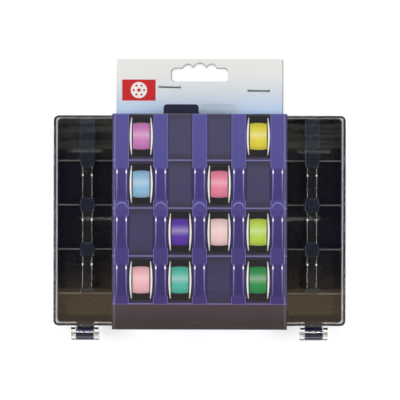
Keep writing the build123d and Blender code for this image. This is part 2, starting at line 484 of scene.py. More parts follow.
@dataclass(frozen=True)
class Finish:
    """What every finish has: a name, and a principled shader in a new material."""

    name: str

    def start(self, place: str = "") -> tuple[bpy.types.Material, Graph, bpy.types.Node]:
        """Makes the material.

        Args:
            place: The attribute that holds the point on a piece that bends, or nothing for its Object coordinates.

        Returns:
            The material, its graph and its principled shader.
        """
        material, graph = empty_material(self.name)
        if place:
            graph.place = graph.node("ShaderNodeAttribute", attribute_name=place).outputs["Vector"]
        return material, graph, graph.node("ShaderNodeBsdfPrincipled")


@dataclass(frozen=True)
class MouldedPlastic(Finish):
    """Opaque gloss plastic, straight from a polished mould, with a fine texture on the tops of the combs.

    The thin dividers have a painted highlight along their tops, a speckled pale grey, where their finish is also
    rougher.
    The combs have small domed nibs on the edges of their waists, whose tops are painted near-white as highlights. The
    default colour, darker than the tray shell's navy, is painted shade, and the lighter, bluer colour of the comb tops
    is painted light. Places and sizes are in millimetres from below the middle of the box, and peel_m is in metres.
    """

    # Painted shade: this default colour, darker and greyer than the tray shell's navy, stands for the shade deep in the
    # tray on the combs and dividers that take it.
    colour: Colour = srgb(13, 15, 22)
    light_colour: Colour = srgb(17, 19, 29)
    # Painted light: the comb tops, which also carry the fine texture, are painted a lighter, bluer navy than the
    # waists.
    painted_lit_top_colour: Colour = srgb(20, 27, 45)
    # Painted highlight: pale grey for the light mirrored along the rounded tops of the dividers.
    top_highlight_colour: Colour = srgb(88, 90, 92)
    roughness: float = 0.12
    textured_roughness: float = 0.24
    textured_lit_top_z: float = 19.32
    top_highlight_z: float = 99.0
    # Painted highlight: near-white spots on the nibs, standing in for the glints at the upper ends of the waists.
    nib_highlight_colour: Colour = srgb(238, 238, 242)
    nib_r: float = 0.0
    nib_x: float = 2.66
    nib_y: float = 24.7
    nib_z: float = 18.85
    nib_peels: float = 4.0
    pitch_x: float = 20.5
    pitch_y: float = 24.4
    peel_m: float = 0.00004
    ior: float = 1.57

    def nibs(self, graph: Graph) -> Field:
        """The small domes on both edges of every waist, below its upper end.

        Formula: one less the squared distance from the nearest nib in nib radii, and never below zero. The nibs stand a
        column and a row of cells apart, the first row has none, and the walls below the edge have none.

        Args:
            graph: Where the nodes go.

        Returns:
            Height, 0 to 1.
        """
        x, y, z = graph.axes()
        columns, rows = x / self.pitch_x, (y - self.nib_y) / self.pitch_y
        across = abs(columns - (columns + 0.5).floor()) * self.pitch_x
        along = (rows - (rows + 0.5).floor()) * self.pitch_y
        u, v = (across - self.nib_x) / self.nib_r, along / self.nib_r
        held = y.below(self.nib_y + self.pitch_y / 2, 0.1) * z.above(self.nib_z, 0.1)
        return (1.0 - u * u - v * v).most(0.0) * held

    def material(self, shared: SharedEffects) -> bpy.types.Material:
        """Builds the material: a colour that drifts with the flow of the plastic, dust, rub marks and a fine peel.

        Args:
            shared: The shared effects.

        Returns:
            The material.
        """
        material, graph, shader = self.start()
        peel = shared.peel.use(graph, Flow=0.9)
        dust = Field(graph, shared.dust.use(graph, Amount=0.4).outputs["Mask"])
        rubs = Field(graph, shared.hairlines.use(graph, Amount=0.3).outputs["Mask"])
        variation = Field(graph, peel.outputs["Variation"])
        z = graph.axes()[2]
        textured_lit_top = z.above(self.textured_lit_top_z, 0.1)
        top_highlight = z.above(self.top_highlight_z, 0.1)
        body = graph.mix(variation.above(0.5, 0.7), self.colour, self.light_colour)
        # Painted light: the comb tops take the lighter, bluer colour.
        body = graph.mix(textured_lit_top, body, self.painted_lit_top_colour)
        # Painted highlight along the divider tops, speckled with noise; the same band is also made rougher below.
        body = graph.mix(top_highlight * graph.noise(700.0, 2.0).above(0.35, 0.5), body, self.top_highlight_colour)
        height = Field(graph, peel.outputs["Height"]) + textured_lit_top * graph.noise(3800.0, 1.0) * 0.4
        if self.nib_r > 0:
            nibs = self.nibs(graph)
            # Painted highlight: the tops of the nib domes are painted near-white; the domes also bump the surface.
            body = graph.mix(nibs.above(0.3, 0.5), body, self.nib_highlight_colour)
            height = height + nibs * self.nib_peels
        graph.feed(shader.inputs["Base Color"], graph.mix(dust * 0.5, body, srgb(150, 150, 152)))
        roughness = textured_lit_top * (self.textured_roughness - self.roughness) + self.roughness
        roughness = roughness + top_highlight * 0.25 + variation * 0.06
        graph.feed(shader.inputs["Roughness"], roughness + rubs * 0.2 + dust * 0.3)
        graph.feed(shader.inputs["Specular IOR Level"], 0.5 - textured_lit_top * 0.38)
        shader.inputs["IOR"].default_value = self.ior
        graph.feed(shader.inputs["Normal"], graph.bump(height, self.peel_m))
        graph.surface(shader)
        return material


@dataclass(frozen=True)
class ClearPlastic(Finish):
    """Clear gloss plastic. Lamps light what lies behind it, and rays that leave what lies behind it pass it straight.

    A mirrored ray is outside the plastic when it has crossed its faces an even number of times, and behind it when that
    number is two or more.
    """

    tint: Colour = (0.985, 0.985, 0.976)
    roughness: float = 0.025
    peel_m: float = 0.000006
    ior: float = 1.5

    def material(self, shared: SharedEffects) -> bpy.types.Material:
        """Builds the material: clear plastic with a faint haze of rub marks and dust, and a slow waviness.

        Args:
            shared: The shared effects.

        Returns:
            The material.
        """
        material, graph, shader = self.start()
        peel = shared.peel.use(graph, Flow=0.5)
        dust = Field(graph, shared.dust.use(graph, Amount=0.30).outputs["Mask"])
        rubs = Field(graph, shared.hairlines.use(graph, Amount=0.15).outputs["Mask"])
        graph.feed(shader.inputs["Base Color"], self.tint)
        graph.feed(shader.inputs["Roughness"], rubs * 0.10 + dust * 0.25 + self.roughness)
        shader.inputs["IOR"].default_value = self.ior
        shader.inputs["Transmission Weight"].default_value = 1.0
        graph.feed(shader.inputs["Normal"], graph.bump(Field(graph, peel.outputs["Height"]), self.peel_m))
        through = graph.node("ShaderNodeBsdfTransparent")
        graph.feed(through.inputs["Color"], self.tint)
        rays = graph.node("ShaderNodeLightPath").outputs
        straight = Field(graph, rays["Is Shadow Ray"]).most(Field(graph, rays["Is Diffuse Ray"]))
        crossed = Field(graph, rays["Transmission Depth"])
        outside = graph.math("LESS_THAN", graph.math("MODULO", crossed, 2.0), 0.5)
        from_behind = outside * graph.math("GREATER_THAN", crossed, 1.5)
        graph.surface(shader, through, straight.most(from_behind * Field(graph, rays["Is Reflection Ray"])))
        return material


@dataclass(frozen=True)
class StapleWire(Finish):
    """Flat galvanised wire."""

    colour: Colour = srgb(118, 130, 138)
    dark_colour: Colour = srgb(70, 82, 92)
    line_m: float = 0.00003

    def material(self, shared: SharedEffects) -> bpy.types.Material:
        """Builds the material: metal with zinc spangle, drawing lines along the wire and specks of dust.

        Args:
            shared: The shared effects.

        Returns:
            The material.
        """
        material, graph, shader = self.start()
        spangle = graph.noise(1400.0, 3.0)
        lines = graph.noise(2600.0, 1.0, graph.stretched(0.06, 1.0, 1.0))
        dust = Field(graph, shared.dust.use(graph, Amount=0.6).outputs["Mask"])
        body = graph.mix(spangle.above(0.5, 0.4), self.colour, self.dark_colour)
        graph.feed(shader.inputs["Base Color"], graph.mix(dust, body, srgb(160, 158, 150)))
        graph.feed(shader.inputs["Roughness"], spangle * 0.2 + 0.28)
        shader.inputs["Metallic"].default_value = 1.0
        graph.feed(shader.inputs["Normal"], graph.bump(lines, self.line_m))
        graph.surface(shader)
        return material


class Print(Enum):
    """What a face of the card carries."""

    COVER = "cover"
    HEADER = "header"
    BASE = "base"
    BARE = "bare"


@dataclass(frozen=True)
class Thread:
    """One wound bobbin of the printed picture: its column and row of cells, and the colour of its thread."""

    column: int
    row: int
    colour: Colour


@dataclass(frozen=True)
class Cell:
    """A place in a cell of the printed picture.

    u runs across and v down from the cell's middle, across and along are their sizes, and height is how far up the card
    the place lies, 0 to 1.
    """

    u: Field
    v: Field
    across: Field
    along: Field
    height: Field


@dataclass(frozen=True)
class BobbinPicture:
    """A printed picture of bobbins in a compartment box, as formulas in millimetres.

    Every cell of the picture has its own middle, with u across and v down from it, so one bobbin, one comb and one
    divider are drawn for all the cells at once.
    """

    columns: int = 4
    pitch_x: float = 21.1
    pitch_y: float = 25.9
    top_y: float = 58.6
    comb_half: float = 3.95
    waist_half: float = 2.95
    head_y: float = 29.2
    flange_u: float = 5.15
    flange_bow: float = 0.55
    flange_r: float = 10.0
    thread_u: float = 4.55
    thread_r: float = 7.3
    band_y: float = -45.0
    ring_row: int = 2
    ring_r: float = 2.95
    threads: tuple[Thread, ...] = (
        Thread(0, 0, srgb(204, 128, 190)),
        Thread(3, 0, srgb(230, 216, 66)),
        Thread(0, 1, srgb(146, 192, 226)),
        Thread(2, 1, srgb(236, 134, 164)),
        Thread(1, 2, srgb(92, 56, 168)),
        Thread(2, 2, srgb(244, 208, 208)),
        Thread(3, 2, srgb(188, 218, 84)),
        Thread(0, 3, srgb(246, 186, 194)),
        Thread(1, 3, srgb(86, 188, 170)),
        Thread(3, 3, srgb(44, 146, 82)),
    )

    def thread_of_cell(self, graph: Graph, index: Field) -> bpy.types.Node:
        """The colour of the thread in each cell, with alpha 1 where there is a bobbin.

        Args:
            graph: Where the nodes go.
            index: The cell's number, row by row.

        Returns:
            A colour ramp with one flat stop for each cell.
        """
        cells = self.columns * 4
        table = graph.node("ShaderNodeValToRGB")
        table.color_ramp.interpolation = "CONSTANT"
        graph.feed(table.inputs[0], (index + 0.5) / cells)
        held = {t.row * self.columns + t.column: t.colour for t in self.threads}
        stops = table.color_ramp.elements
        while len(stops) > 1:
            stops.remove(stops[-1])
        for cell in range(cells):
            stop = stops[0] if cell == 0 else stops.new(cell / cells)
            stop.position = cell / cells
            colour = held.get(cell)
            stop.color = (*colour, 1.0) if colour else (0.0, 0.0, 0.0, 0.0)
        return table

    def paint(self, graph: Graph, x: Field, y: Field) -> bpy.types.NodeSocket:
        """Draws the picture.

        Args:
            graph: Where the nodes go.
            x: Place across the card, in millimetres from its middle.
            y: Place up the card, in millimetres from the middle of the box.

        Returns:
            The picture's colour.
        """
        left = -self.pitch_x * self.columns / 2
        column = ((x - left) / self.pitch_x).floor()
        row = ((self.top_y - y) / self.pitch_y).floor()
        u = x - (column + 0.5) * self.pitch_x - left
        v = (self.top_y - y) - (row + 0.5) * self.pitch_y
        cell = Cell(u, v, abs(u), abs(v), graph.ramp(y, -55.0, 55.0))
        table = self.thread_of_cell(graph, row * self.columns + column)
        held = Field(graph, table.outputs["Alpha"]) * abs(x).below(-left, 0.1) * y.above(self.band_y, 0.1)
        picture = self.floor(graph, cell, x)
        picture = self.bobbin(graph, cell, picture, table.outputs["Color"], held)
        picture = self.comb(graph, cell, picture, x, y)
        band = graph.mix(graph.ramp(y, -58.0, self.band_y), srgb(54, 44, 50), srgb(70, 58, 66))
        band = graph.mix(y.near(self.band_y, 0.3, 0.3), band, srgb(112, 104, 160))
        return graph.mix(y.below(self.band_y, 0.2), picture, band)

    def floor(self, graph: Graph, cell: Cell, x: Field) -> bpy.types.NodeSocket:
        """Draws an empty cell: its floor, darker at the sides, and half of the divider at each end.

        Args:
            graph: Where the nodes go.
            cell: The place in the cell.
            x: Place across the card.

        Returns:
            The picture with the cell.
        """
        floor = graph.mix(cell.height, srgb(54, 50, 84), srgb(70, 68, 96))
        floor = graph.mix(cell.v.near(1.0, 3.0, 10.0) * 0.5, floor, srgb(66, 64, 106))
        floor = graph.mix(cell.along.above(9.8, 3.5) * 0.5, floor, srgb(44, 42, 56))
        floor = graph.mix(cell.across.above(5.9, 0.7) * 0.7, floor, srgb(38, 32, 84))
        floor = graph.mix(abs(x).above(self.pitch_x * self.columns / 2 + self.comb_half, 0.2), floor, srgb(66, 56, 110))
        return graph.mix(cell.along.above(self.pitch_y / 2 - 0.3, 0.3), floor, srgb(126, 120, 178))

    def bobbin(
        self, graph: Graph, cell: Cell, picture: bpy.types.NodeSocket, colour: bpy.types.NodeSocket, held: Field
    ) -> bpy.types.NodeSocket:
        """Draws a wound bobbin on edge: its shadow, its thread and its two bowed flanges.

        Args:
            graph: Where the nodes go.
            cell: The place in the cell.
            picture: What lies below.
            colour: The thread's colour.
            held: 1 in cells that hold a bobbin.

        Returns:
            The picture with the bobbin on it.
        """
        shade = cell.across.below(6.4, 0.5) * cell.along.below(self.flange_r + 1.3, 1.6)
        picture = graph.mix(shade * held * 0.95, picture, srgb(18, 17, 24))
        squared = cell.u * cell.u * (1 / self.thread_u ** 2)
        end = self.thread_r - squared * 0.45
        wound = cell.across.below(self.thread_u, 0.15) * (end - cell.along).above(0.0, 0.35)
        depth = cell.along / self.thread_r
        round_off = 1.0 - depth * depth * depth * 0.42
        turns = (cell.u * (2 * math.pi / 0.62) + cell.v * 0.35).sine() * 0.07 + 0.96
        grey = graph.mix(round_off * turns * (1.0 - squared * 0.10), (0.0, 0.0, 0.0), (1.0, 1.0, 1.0))
        thread = graph.mix(1.0, colour, grey, "MULTIPLY")
        thread = graph.mix(cell.v.near(-0.8, 1.0, 5.5) * 0.32, thread, srgb(250, 248, 244))
        picture = graph.mix(wound * held, picture, thread)
        bulge = 1.0 - cell.v * cell.v * (1 / self.flange_r ** 2)
        off = abs(cell.across - self.flange_u - bulge * self.flange_bow)
        flange = (bulge * 0.26 + 0.24 - off).above(0.0, 0.18) * cell.along.below(self.flange_r, 0.8)
        rim = graph.mix(cell.along.above(7.5, 3.0) * 0.45, srgb(240, 238, 232), srgb(120, 116, 124))
        return graph.mix(flange * held, picture, rim)

    def comb(self, graph: Graph, cell: Cell, picture: bpy.types.NodeSocket, x: Field, y: Field) -> bpy.types.NodeSocket:
        """Draws the combs: a full width head, then waists with lit edges between crossings, and a row of ring marks.

        Args:
            graph: Where the nodes go.
            cell: The place in the cell.
            picture: What lies below.
            x: Place across the card.
            y: Place up the card.

        Returns:
            The picture with the combs on it.
        """
        to_comb = self.pitch_x / 2 - cell.across
        to_divider = self.pitch_y / 2 - cell.along
        waist = to_divider.above(4.4, 1.6) * y.below(self.head_y, 0.4)
        half = waist * (self.waist_half - self.comb_half) + self.comb_half
        inside = half - to_comb
        colour = graph.mix(cell.height, srgb(62, 48, 114), srgb(84, 80, 148))
        dark = graph.mix(cell.height, srgb(48, 38, 96), srgb(62, 54, 122))
        colour = graph.mix(waist * 0.8, colour, dark)
        colour = graph.mix(inside.below(0.35, 0.3) * 0.8, colour, srgb(118, 112, 176))
        lit = waist * to_comb.near(2.5, 0.26, 0.3)
        colour = graph.mix(lit * graph.ramp(cell.v, 9.5, -8.0) * 0.75, colour, srgb(160, 154, 212))
        du, dv = (to_comb - 2.5) / 0.42, (cell.v + 6.6) / 0.95
        dot = (du * du + dv * dv).below(1.0, 0.7) * waist
        colour = graph.mix(dot, colour, srgb(246, 244, 252))
        ring_dy = y - (self.top_y - self.ring_row * self.pitch_y)
        reach = graph.math("SQRT", to_comb * to_comb + ring_dy * ring_dy)
        ring = reach.near(self.ring_r, 0.2, 0.3)
        ring_colour = graph.mix(ring_dy.above(0.5, 4.0), srgb(56, 46, 104), srgb(164, 160, 216))
        colour = graph.mix(ring * 0.8, colour, ring_colour)
        return graph.mix(inside.above(0.0, 0.2), picture, colour)


@dataclass(frozen=True)
class HeaderArt:
    """The print on the header: a pale fade and one red tile with the end view of a bobbin, in millimetres."""

    low_y: float = 58.3
    high_y: float = 91.3
    tile_x: float = -34.6
    tile_y: float = 73.5
    tile_w: float = 19.0
    tile_h: float = 12.0
    disc_r: float = 4.6
    hub_r: float = 1.0
    holes: int = 6
    hole_r: float = 0.62
    hole_ring_r: float = 2.9
    # Reach of the painted shade along the header's edges, in millimetres.
    edge_shade_r: float = 1.0

    def paint(self, graph: Graph, x: Field, y: Field) -> bpy.types.NodeSocket:
        """Draws the header.

        Args:
            graph: Where the nodes go.
            x: Place across the card, in millimetres from its middle.
            y: Place up the card, in millimetres from the middle of the box.

        Returns:
            The header's colour.
        """
        fade = graph.ramp(y, self.low_y - 6.0, self.high_y - 6.0)
        picture = graph.mix(fade, srgb(184, 211, 240), srgb(238, 238, 235))
        u, v = x - self.tile_x, y - self.tile_y
        tile = abs(u).below(self.tile_w / 2, 0.15) * abs(v).below(self.tile_h / 2, 0.15)
        picture = graph.mix(tile, picture, srgb(205, 34, 38))
        reach = graph.math("SQRT", u * u + v * v)
        disc = reach.below(self.disc_r, 0.15) * reach.above(self.hub_r, 0.15)
        step = 2 * math.pi / self.holes
        turn = graph.math("ARCTAN2", v, u) / step
        off = (turn - (turn + 0.5).floor()) * (step * self.hole_ring_r)
        inward = reach - self.hole_ring_r
        hole = graph.math("SQRT", off * off + inward * inward).below(self.hole_r, 0.15)
        picture = graph.mix(disc * (1.0 - hole), picture, srgb(244, 242, 240))
        # Painted shade: a dark grey line along the edges that lean right or down, the header's right edge and the
        # slot's top and left edges, for the shadow of a light from the upper left.
        rounded = graph.node("ShaderNodeBevel", samples=6)
        rounded.inputs["Radius"].default_value = self.edge_shade_r * MM
        lean = graph.node("ShaderNodeSeparateXYZ")
        graph.tree.links.new(rounded.outputs[0], lean.inputs[0])
        away = Field(graph, lean.outputs[0]).most(Field(graph, lean.outputs[1]) * -1.0)
        return graph.mix(away.above(0.2, 0.24) * 0.9, picture, srgb(62, 64, 66))


@dataclass(frozen=True)
class PrintedBoard(Finish):
    """Coated white board, printed and varnished."""

    print_on: Print = Print.BARE
    place: str = ""
    board: Colour = srgb(212, 210, 204)
    roughness: float = 0.34
    fibre_m: float = 0.00002

    def paint(self, graph: Graph) -> bpy.types.NodeSocket:
        """The colour of the print, with bare board on the cut edges and on the faces towards the box.

        Args:
            graph: Where the nodes go.

        Returns:
            The colour.
        """
        bare = graph.mix(graph.noise(300.0, 3.0) * 0.3, self.board, srgb(192, 188, 180))
        if self.print_on is Print.BARE:
            return bare
        x, y, z = graph.axes()
        _, facing_y, facing_z = graph.facing()
        wall = graph.mix(graph.ramp(z, 1.0, 24.0), srgb(166, 192, 226), srgb(74, 66, 126))
        if self.print_on is Print.COVER:
            return graph.mix(z.above(24.9, 0.3), wall, BobbinPicture().paint(graph, x, y))
        if self.print_on is Print.HEADER:
            return graph.mix(facing_z.above(0.7, 0.2), bare, HeaderArt().paint(graph, x, y))
        outside = facing_z.below(-0.7, 0.2).most(facing_y.below(-0.7, 0.2))
        return graph.mix(outside, bare, wall)

    def material(self, shared: SharedEffects) -> bpy.types.Material:
        """Builds the material: the print, its fine grain, faint rub marks and dust, a varnished sheen and a fine bump
        of fibres.

        Args:
            shared: The shared effects.

        Returns:
            The material.
        """
        material, graph, shader = self.start(self.place)
        colour = self.paint(graph)
        grain = graph.noise(5200.0, 1.0)
        colour = graph.mix((grain - 0.5) * 0.35 + 0.08, colour, (0.5, 0.5, 0.5), "OVERLAY")
        rubs = Field(graph, shared.hairlines.use(graph, Amount=0.07).outputs["Mask"])
        dust = Field(graph, shared.dust.use(graph, Amount=0.15).outputs["Mask"])
        colour = graph.mix(rubs * 0.3 + dust * 0.3, colour, srgb(214, 214, 218))
        graph.feed(shader.inputs["Base Color"], colour)
        graph.feed(shader.inputs["Roughness"], rubs * 0.2 + grain * 0.06 + self.roughness)
        shader.inputs["Specular IOR Level"].default_value = 0.45
        fibres = graph.noise(1100.0, 3.0, graph.stretched(0.4, 1.0, 1.0))
        graph.feed(shader.inputs["Normal"], graph.bump(fibres, self.fibre_m))
        graph.surface(shader)
        return material


def mesh_object(
    name: str, points: np.ndarray, faces: list[list[int]], material: bpy.types.Material
) -> bpy.types.Object:
    """Makes a smooth mesh object at the origin and links it to the scene.

    Args:
        name: The piece's name.
        points: Places, one row each, in metres.
        faces: Point numbers of each face, turning anticlockwise seen from outside.
        material: Its finish.

    Returns:
        The object.
    """
    mesh = bpy.data.meshes.new(name)
    mesh.from_pydata(points.tolist(), [], faces)
    mesh.polygons.foreach_set("use_smooth", np.ones(len(mesh.polygons), bool))
    mesh.update()
    mesh.materials.append(material)
    made = bpy.data.objects.new(name, mesh)
    bpy.context.scene.collection.objects.link(made)
    return made


def tube_faces(rings: int, around: int) -> tuple[np.ndarray, np.ndarray]:
    """Faces between the rings of a tube, whose points are numbered ring by ring.

    Formula: each point with the one in the next ring and both their neighbours, the last of a ring beside its first.

    Args:
        rings: Number of rings.
        around: Points in a ring.

    Returns:
        Point numbers of each face, and the numbers of the points by ring.
    """
    index = np.arange(rings * around).reshape(rings, around)
    right = np.roll(index, -1, axis=1)
    return np.stack([index[:-1], index[1:], right[1:], right[:-1]], axis=-1).reshape(-1, 4), index


def finish_nodes(nodes: Sequence[str], material: bpy.types.Material) -> list[bpy.types.Object]:
    """Gives CAD nodes a finish.

    Args:
        nodes: Their names.
        material: The finish.

    Returns:
        Their objects.
    """
    pieces = [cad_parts[node] for node in nodes]
    for piece in pieces:
        piece.data.materials.clear()
        piece.data.materials.append(material)
    return pieces


@dataclass(frozen=True)
class Tray:
    """The navy tray with its combs and cross dividers, which keep the CAD nodes' meshes."""

    combs: int = 7
    dividers: int = 4
    # Height above which the divider tops take a painted highlight, in millimetres.
    top_highlight_z: float = 14.75
    nib_r: float = 0.75
    shell_colour: Colour = srgb(16, 19, 46)
    shell_light_colour: Colour = srgb(22, 26, 60)

    def gloss_nodes(self) -> list[str]:
        """The nodes with moulded edges that catch the small lamps: the shell and the combs."""
        return ["tray_shell", *(f"comb_{i}" for i in range(1, self.combs + 1))]

    def build(self, shared: SharedEffects) -> list[bpy.types.Object]:
        """Dresses the shell, the combs and the dividers.

        Args:
            shared: The shared effects.

        Returns:
            The pieces.
        """
        gloss = MouldedPlastic("navy_plastic_gloss", self.shell_colour, self.shell_light_colour).material(shared)
        # The combs and dividers keep MouldedPlastic's default colour, darker than the shell's: painted shade.
        comb = MouldedPlastic("navy_plastic_comb", nib_r=self.nib_r).material(shared)
        rib = MouldedPlastic("navy_plastic_rib", top_highlight_z=self.top_highlight_z).material(shared)
        shell, *combs = self.gloss_nodes()
        ribs = [f"cross_divider_{i}" for i in range(1, self.dividers + 1)]
        return finish_nodes([shell], gloss) + finish_nodes(combs, comb) + finish_nodes(ribs, rib)


@dataclass(frozen=True)
class Lid:
    """The clear lid and the two pins in its ears, which keep the CAD nodes' meshes."""

    nodes: tuple[str, ...] = ("lid", "hinge_pin_left", "hinge_pin_right")

    def build(self, shared: SharedEffects) -> list[bpy.types.Object]:
        """Dresses the lid and its pins, and returns them."""
        return finish_nodes(self.nodes, ClearPlastic("clear_plastic_gloss").material(shared))


@dataclass
class PrintedCover:
    """The printed card over the lid, with the strip on the lid's hinge wall that it folds from.

    Its outer face is a path in the plane across the hinges, carried along X: up the hinge wall, round the crease, over
    the lid, round the fold and down the tab wall, where it is cut back round the thumb tabs.
    """

    thickness: float = 0.45 * MM
    crease_r: float = 0.7 * MM
    fold_r: float = 0.8 * MM
    step: float = 2.4 * MM
    arc_steps: int = 6
    wall_steps: int = 4
    strip_steps: int = 3
    notch_steps: int = 7
    side_columns: int = 11
    middle_columns: int = 18
    notch_half: float = 21.45 * MM
    notch_rise: float = 0.5 * MM
    tab_t: float = 1.8 * MM
    blend_reach: float = 1.6
    sharp_deg: float = 40.0
    low: np.ndarray = field(init=False)
    high: np.ndarray = field(init=False)

    def __post_init__(self) -> None:
        """Reads where the cover and the hinge strip lie."""
        self.low, self.high = node_box("sleeve_cover", "sleeve_hinge_strip")

    def path(self) -> tuple[np.ndarray, np.ndarray]:
        """The outer face's path.

        Formula: straight runs cut into even steps, and quarter circles between them.

        Returns:
            Y and Z of the points, from the parting line to the end of the strip on the tab wall, and a mask of those
            below the top of the notch in that strip.
        """
        y0, y1 = self.low[1], self.high[1]
        z_end, z_top = self.low[2], self.high[2]
        z_start = node_box("sleeve_hinge_strip")[0][2]
        z_notch = max(z_start, node_box("lid")[0][2]) + self.tab_t + self.notch_rise
        quarter = np.linspace(0, np.pi / 2, self.arc_steps)
        wall_z = np.linspace(z_start, z_top - self.crease_r, self.wall_steps + 1)[:-1]
        crease_y = y0 + self.crease_r * (1 - np.cos(quarter))
        crease_z = z_top - self.crease_r * (1 - np.sin(quarter))
        count = int(round((y1 - y0) / self.step))
        top_y = np.linspace(y0 + self.crease_r, y1 - self.fold_r, count)[1:-1]
        top_z = np.full(len(top_y), z_top)
        fold_y = y1 - self.fold_r * (1 - np.cos(quarter[::-1]))
        fold_z = z_top - self.fold_r * (1 - np.sin(quarter[::-1]))
        strip_z = np.linspace(z_top - self.fold_r, z_notch, self.strip_steps + 1)[1:]
        flaps_z = np.linspace(z_notch, z_end, self.notch_steps + 1)[1:]
        down_z = np.concatenate([strip_z, flaps_z])
        y = np.concatenate([np.full(len(wall_z), y0), crease_y, top_y, fold_y, np.full(len(down_z), y1)])
        z = np.concatenate([wall_z, crease_z, top_z, fold_z, down_z])
        return np.stack([y, z], axis=1), np.arange(len(y)) >= len(y) - self.notch_steps

    def sheet(self) -> tuple[np.ndarray, np.ndarray]:
        """The outer face.

        Formula: the path times a row of X places is a grid. The squares of the tab wall between the notch's sides and
        below its top are left out, and so are the points that no other square uses.

        Returns:
            The points, in metres, and the point numbers of each face.
        """
        path, below = self.path()
        side = np.linspace(self.notch_half, self.high[0], self.side_columns + 1)
        middle = np.linspace(-self.notch_half, self.notch_half, self.middle_columns + 1)
        x = np.concatenate([-side[::-1][:-1], middle, side[1:]])
        points = np.empty((len(path), len(x), 3))
        points[..., 0] = x[None, :]
        points[..., 1:] = path[:, None, :]
        inside = np.abs((x[1:] + x[:-1]) / 2) < self.notch_half
        keep = ~(below[1:, None] & inside[None, :])
        index = np.arange(points.shape[0] * points.shape[1]).reshape(points.shape[:2])
        quads = np.stack([index[:-1, :-1], index[:-1, 1:], index[1:, 1:], index[1:, :-1]], axis=-1)[keep]
        used, places = np.unique(quads, return_inverse=True)
        return points.reshape(-1, 3)[used], places.reshape(quads.shape)

    def build(self, printed: bpy.types.Material, bare: bpy.types.Material) -> bpy.types.Object:
        """Makes the cover: the outer face, which keeps its places at rest and gets its thickness inwards.

        Args:
            printed: The printed face's finish.
            bare: The finish of the inner face and the cut edges.

        Returns:
            The cover.
        """
        points, faces = self.sheet()
        cover = mesh_object("printed_cover", points, faces.tolist(), printed)
        cover.data.set_sharp_from_angle(angle=math.radians(self.sharp_deg))
        rest = cover.data.attributes.new(REST_PLACE, "FLOAT_VECTOR", "POINT")
        rest.data.foreach_set("vector", points.astype(np.float32).ravel())
        solid = cover.modifiers.new("board", "SOLIDIFY")
        solid.thickness = self.thickness
        solid.offset = -1.0
        solid.use_even_offset = True
        cover.data.materials.append(bare)
        solid.material_offset = solid.material_offset_rim = 1
        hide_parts("sleeve_cover", "sleeve_hinge_strip")
        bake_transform(cover)
        return cover


@dataclass(frozen=True)
class Staple:
    """A staple: flat wire with rounded corners, bent over the header's front, through it and flat along its back."""

    node: str
    tilt: float
    length: float = 12.3 * MM
    wire_w: float = 0.80 * MM
    wire_t: float = 0.40 * MM
    foot: float = 4.0 * MM
    bend_r: float = 0.32 * MM
    squareness: float = 4.0
    around: int = 16
    arc_steps: int = 6

    def path(self, height: float) -> np.ndarray:
        """The wire's middle line.

        Formula: straight runs joined by quarter circles: foot, leg, crown, leg, foot.

        Args:
            height: From the middle of the feet to the middle of the crown.

        Returns:
            Points along the wire, with its own x along the crown and its own y up.
        """
        half = self.length / 2 - self.wire_t / 2
        toe = half - self.foot
        corners = np.array([(-toe, 0), (-half, 0), (-half, height), (half, height), (half, 0), (toe, 0)])
        points = [corners[:1]]
        turn = np.linspace(0, np.pi / 2, self.arc_steps)[:, None]
        for before, corner, after in zip(corners[:-2], corners[1:-1], corners[2:]):
            back = (before - corner) / np.linalg.norm(before - corner)
            on = (after - corner) / np.linalg.norm(after - corner)
            middle = corner + (back + on) * self.bend_r
            points.append(middle - (on * np.cos(turn) + back * np.sin(turn)) * self.bend_r)
        points.append(corners[-1:])
        return np.concatenate(points)

    def wire(self, low: np.ndarray, high: np.ndarray) -> tuple[np.ndarray, list[list[int]]]:
        """The wire's surface.

        Formula: a superellipse section, wire_w by wire_t, stands square to the middle line at each of its points. The
        whole is turned by the tilt and put in the node's box.

        Args:
            low: The lowest corner of that box.
            high: The highest.

        Returns:
            The points, in metres, and the point numbers of each face.
        """
        line = self.path(high[2] - low[2] - self.wire_t)
        along = np.gradient(line, axis=0)
        along /= np.linalg.norm(along, axis=1, keepdims=True)
        out = np.stack([-along[:, 1], along[:, 0]], axis=1)
        angle = np.linspace(0, 2 * np.pi, self.around, endpoint=False)
        power = 2 / self.squareness
        flat = np.sign(np.cos(angle)) * np.abs(np.cos(angle)) ** power * self.wire_w / 2
        thick = np.sign(np.sin(angle)) * np.abs(np.sin(angle)) ** power * self.wire_t / 2
        rings = np.empty((len(line), self.around, 3))
        rings[..., 0] = line[:, None, 0] + out[:, None, 0] * thick
        rings[..., 1] = -flat[None, :]
        rings[..., 2] = line[:, None, 1] + out[:, None, 1] * thick
        ends = np.array([(line[0, 0], 0, line[0, 1]), (line[-1, 0], 0, line[-1, 1])])
        points = np.concatenate([rings.reshape(-1, 3), ends])
        quads, index = tube_faces(len(line), self.around)
        first, last = np.full(self.around, len(points) - 2), np.full(self.around, len(points) - 1)
        cap = np.stack([first, index[0], np.roll(index[0], -1)], axis=1)
        end_cap = np.stack([last, np.roll(index[-1], -1), index[-1]], axis=1)
        turn = math.radians(self.tilt)
        spin = np.array([(math.cos(turn), -math.sin(turn), 0), (math.sin(turn), math.cos(turn), 0), (0, 0, 1)])
        middle = (low + high) / 2
        points = points @ spin.T + np.array([middle[0], middle[1], low[2] + self.wire_t / 2])
        return points, quads.tolist() + cap.tolist() + end_cap.tolist()

    def build(self, material: bpy.types.Material) -> bpy.types.Object:
        """Makes the staple.

        Args:
            material: The wire's finish.

        Returns:
            The staple.
        """
        points, faces = self.wire(*node_box(self.node))
        staple = mesh_object(f"{self.node}_wire", points, faces, material)
        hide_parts(self.node)
        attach(staple, "tray")
        return staple


